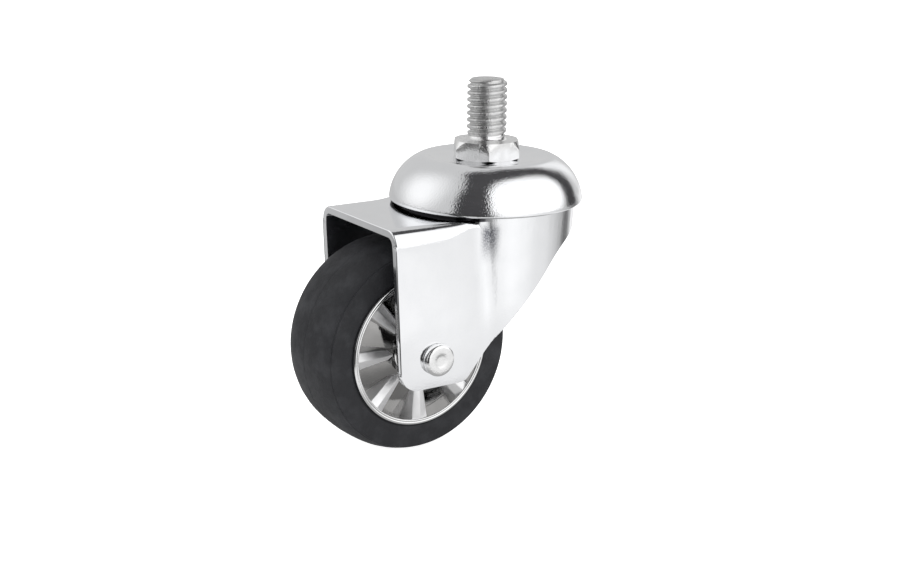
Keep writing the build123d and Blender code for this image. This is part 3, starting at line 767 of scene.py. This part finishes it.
tree.links.new(wedges.outputs["Color"], far.inputs["B"])
glow = tree.nodes.new("ShaderNodeEmission")
tree.links.new(math_node(tree, "MULTIPLY", far.outputs["Result"], 1.1), glow.inputs["Strength"])
tree.links.new(glow.outputs["Emission"], tree.nodes["Material Output"].inputs["Surface"])
bm = bmesh.new()
bmesh.ops.create_circle(bm, cap_ends=True, segments=96, radius=3)
bmesh.ops.translate(bm, verts=bm.verts, vec=(0, 0, FLOOR + 0.0002))
mirror_sheet = in_studio("mirror_sheet", bm, sheet)
only_mirrored(mirror_sheet)
print("shaded sheet:", len(stops), "wedges")

# %% [markdown]
# A softbox is brighter in its middle than at its edge, and a mirror shows that. Each panel here is a flat
# sheet that glows from its own centre outwards and fades to the grey of the room at its edge, so it has
# no hard border.

# %% Light panels
ROOM, PANEL_REACH = 0.62, 0.85


def panel(name, azimuth, elevation, size, peak, core):
    """A glowing sheet that faces the castor; core is the share of it that has the full brightness."""
    material = bpy.data.materials.new(name)
    material.use_nodes = True
    tree = material.node_tree
    tree.nodes.remove(tree.nodes["Principled BSDF"])
    place = tree.nodes.new("ShaderNodeTexCoord").outputs["Object"]
    scaled = tree.nodes.new("ShaderNodeMapping")
    scaled.inputs["Scale"].default_value = (2 / size[0], 2 / size[1], 1)
    tree.links.new(place, scaled.inputs["Vector"])
    bowl = tree.nodes.new("ShaderNodeTexGradient")
    bowl.gradient_type = "SPHERICAL"
    tree.links.new(scaled.outputs["Vector"], bowl.inputs["Vector"])
    level = tree.nodes.new("ShaderNodeMapRange")
    level.interpolation_type = "SMOOTHSTEP"
    level.inputs["From Max"].default_value = 1 - core
    level.inputs["To Min"].default_value = ROOM
    level.inputs["To Max"].default_value = peak
    tree.links.new(bowl.outputs["Fac"], level.inputs["Value"])
    glow = tree.nodes.new("ShaderNodeEmission")
    tree.links.new(level.outputs["Result"], glow.inputs["Strength"])
    tree.links.new(glow.outputs["Emission"], tree.nodes["Material Output"].inputs["Surface"])
    bm = bmesh.new()
    bmesh.ops.create_grid(bm, x_segments=1, y_segments=1, size=0.5)
    bmesh.ops.scale(bm, vec=(size[0], size[1], 1), verts=bm.verts)
    obj = in_studio(name, bm, material)
    tilt = radians(elevation)
    spot = around(azimuth, PANEL_REACH * cos(tilt), PANEL_REACH * sin(tilt) + DOME_LEVEL)
    facing = Vector((0, 0, DOME_LEVEL)) - spot
    obj.matrix_world = Matrix.Translation(spot) @ facing.to_track_quat("Z", "Y").to_matrix().to_4x4()
    return obj


front = panel("front panel", 24, 26, (2.5, 2.0), 1.25, 0.62)
left = panel("left panel", -126, 26, (1.5, 1.7), 1.08, 0.1)
edge_light = panel("edge panel", 118, 20, (0.34, 1.1), 0.98, 0.2)
print("panels:", front.name, left.name, edge_light.name)

# %% Room and lamp
world = bpy.data.worlds.new("studio")
bpy.context.scene.world = world
world.use_nodes = True
world.node_tree.nodes["Background"].inputs["Color"].default_value = (1, 1, 1, 1)
world.node_tree.nodes["Background"].inputs["Strength"].default_value = ROOM
bpy.context.scene.view_settings.view_transform = "Standard"
lamp_data = bpy.data.lights.new("soft lamp", "AREA")
lamp_data.shape = "DISK"
lamp_data.size, lamp_data.energy = 0.7, 2.2
lamp = bpy.data.objects.new("soft lamp", lamp_data)
bpy.context.scene.collection.objects.link(lamp)
spot = around(-75, 0.6, 0.55)
lamp.matrix_world = Matrix.Translation(spot) @ spot.to_track_quat("Z", "Y").to_matrix().to_4x4()
lamp.visible_glossy = False
print("room level", ROOM, "and", lamp.name)

# %% [markdown]
# ## Black cards
# An all-white room makes chrome look like paint. Photographers stand black cards outside the picture, and
# the metal shows them as its dark lines. One card runs over the table and up behind the camera, one does
# the same at the right, and both meet a third that hangs overhead. Only glossy rays see them, so they
# cast no shadow.

# %% Cards
black = bpy.data.materials.new("black card")
black.use_nodes = True
shader = black.node_tree.nodes["Principled BSDF"]
shader.inputs["Base Color"].default_value = (0.036, 0.035, 0.037, 1)
shader.inputs["Roughness"].default_value = 1
CARD_REACH = 0.72


def card(name, stations):
    """A strip of black card through stations: azimuth, half its spread in degrees, distance and height."""
    bm = bmesh.new()
    verts = [bm.verts.new((0, 0, 0)), bm.verts.new((0, 0, 0))]
    edges = [bm.edges.new(verts)]
    for azimuth, spread, distance, height in stations:
        for vert, side in zip(verts, (-1, 1)):
            vert.co = around(azimuth + side * spread, distance, height)
        if (azimuth, spread, distance, height) != stations[-1]:
            grown = bmesh.ops.extrude_edge_only(bm, edges=edges)["geom"]
            edges = [item for item in grown if isinstance(item, bmesh.types.BMEdge)]
            fresh = [item for item in grown if isinstance(item, bmesh.types.BMVert)]
            start = around(azimuth - spread, distance, height)
            verts = sorted(fresh, key=lambda vert: (vert.co - start).length)
    obj = in_studio(name, bm, black)
    only_mirrored(obj)
    return obj


def upright(azimuth, spread, elevation):
    """A station of a card at one reach from the dome, by its elevation."""
    tilt = radians(elevation)
    return azimuth, spread, CARD_REACH * cos(tilt), CARD_REACH * sin(tilt) + DOME_LEVEL


camera_card = card("camera_card", [
    (-50, 21, CARD_REACH, FLOOR), upright(-50, 21, 2), upright(-50, 21, 20),
    upright(-50, 21, 40), upright(-51, 22, 55), upright(-54, 30, 65), upright(-58, 50, 74),
])
side_card = card("side_card", [
    (86, 11, CARD_REACH, FLOOR), upright(86, 11, 3), upright(90, 11, 17),
    upright(95, 11, 28), upright(99, 12, 42), upright(100, 15, 55), upright(98, 30, 66), upright(90, 55, 74),
])
bm = bmesh.new()
bmesh.ops.create_circle(bm, cap_ends=True, segments=48, radius=0.2)
bmesh.ops.translate(bm, verts=bm.verts, vec=(0, 0, 0.7))
overhead_card = in_studio("overhead_card", bm, black)
only_mirrored(overhead_card)
print("cards:", camera_card.name, side_card.name, overhead_card.name)
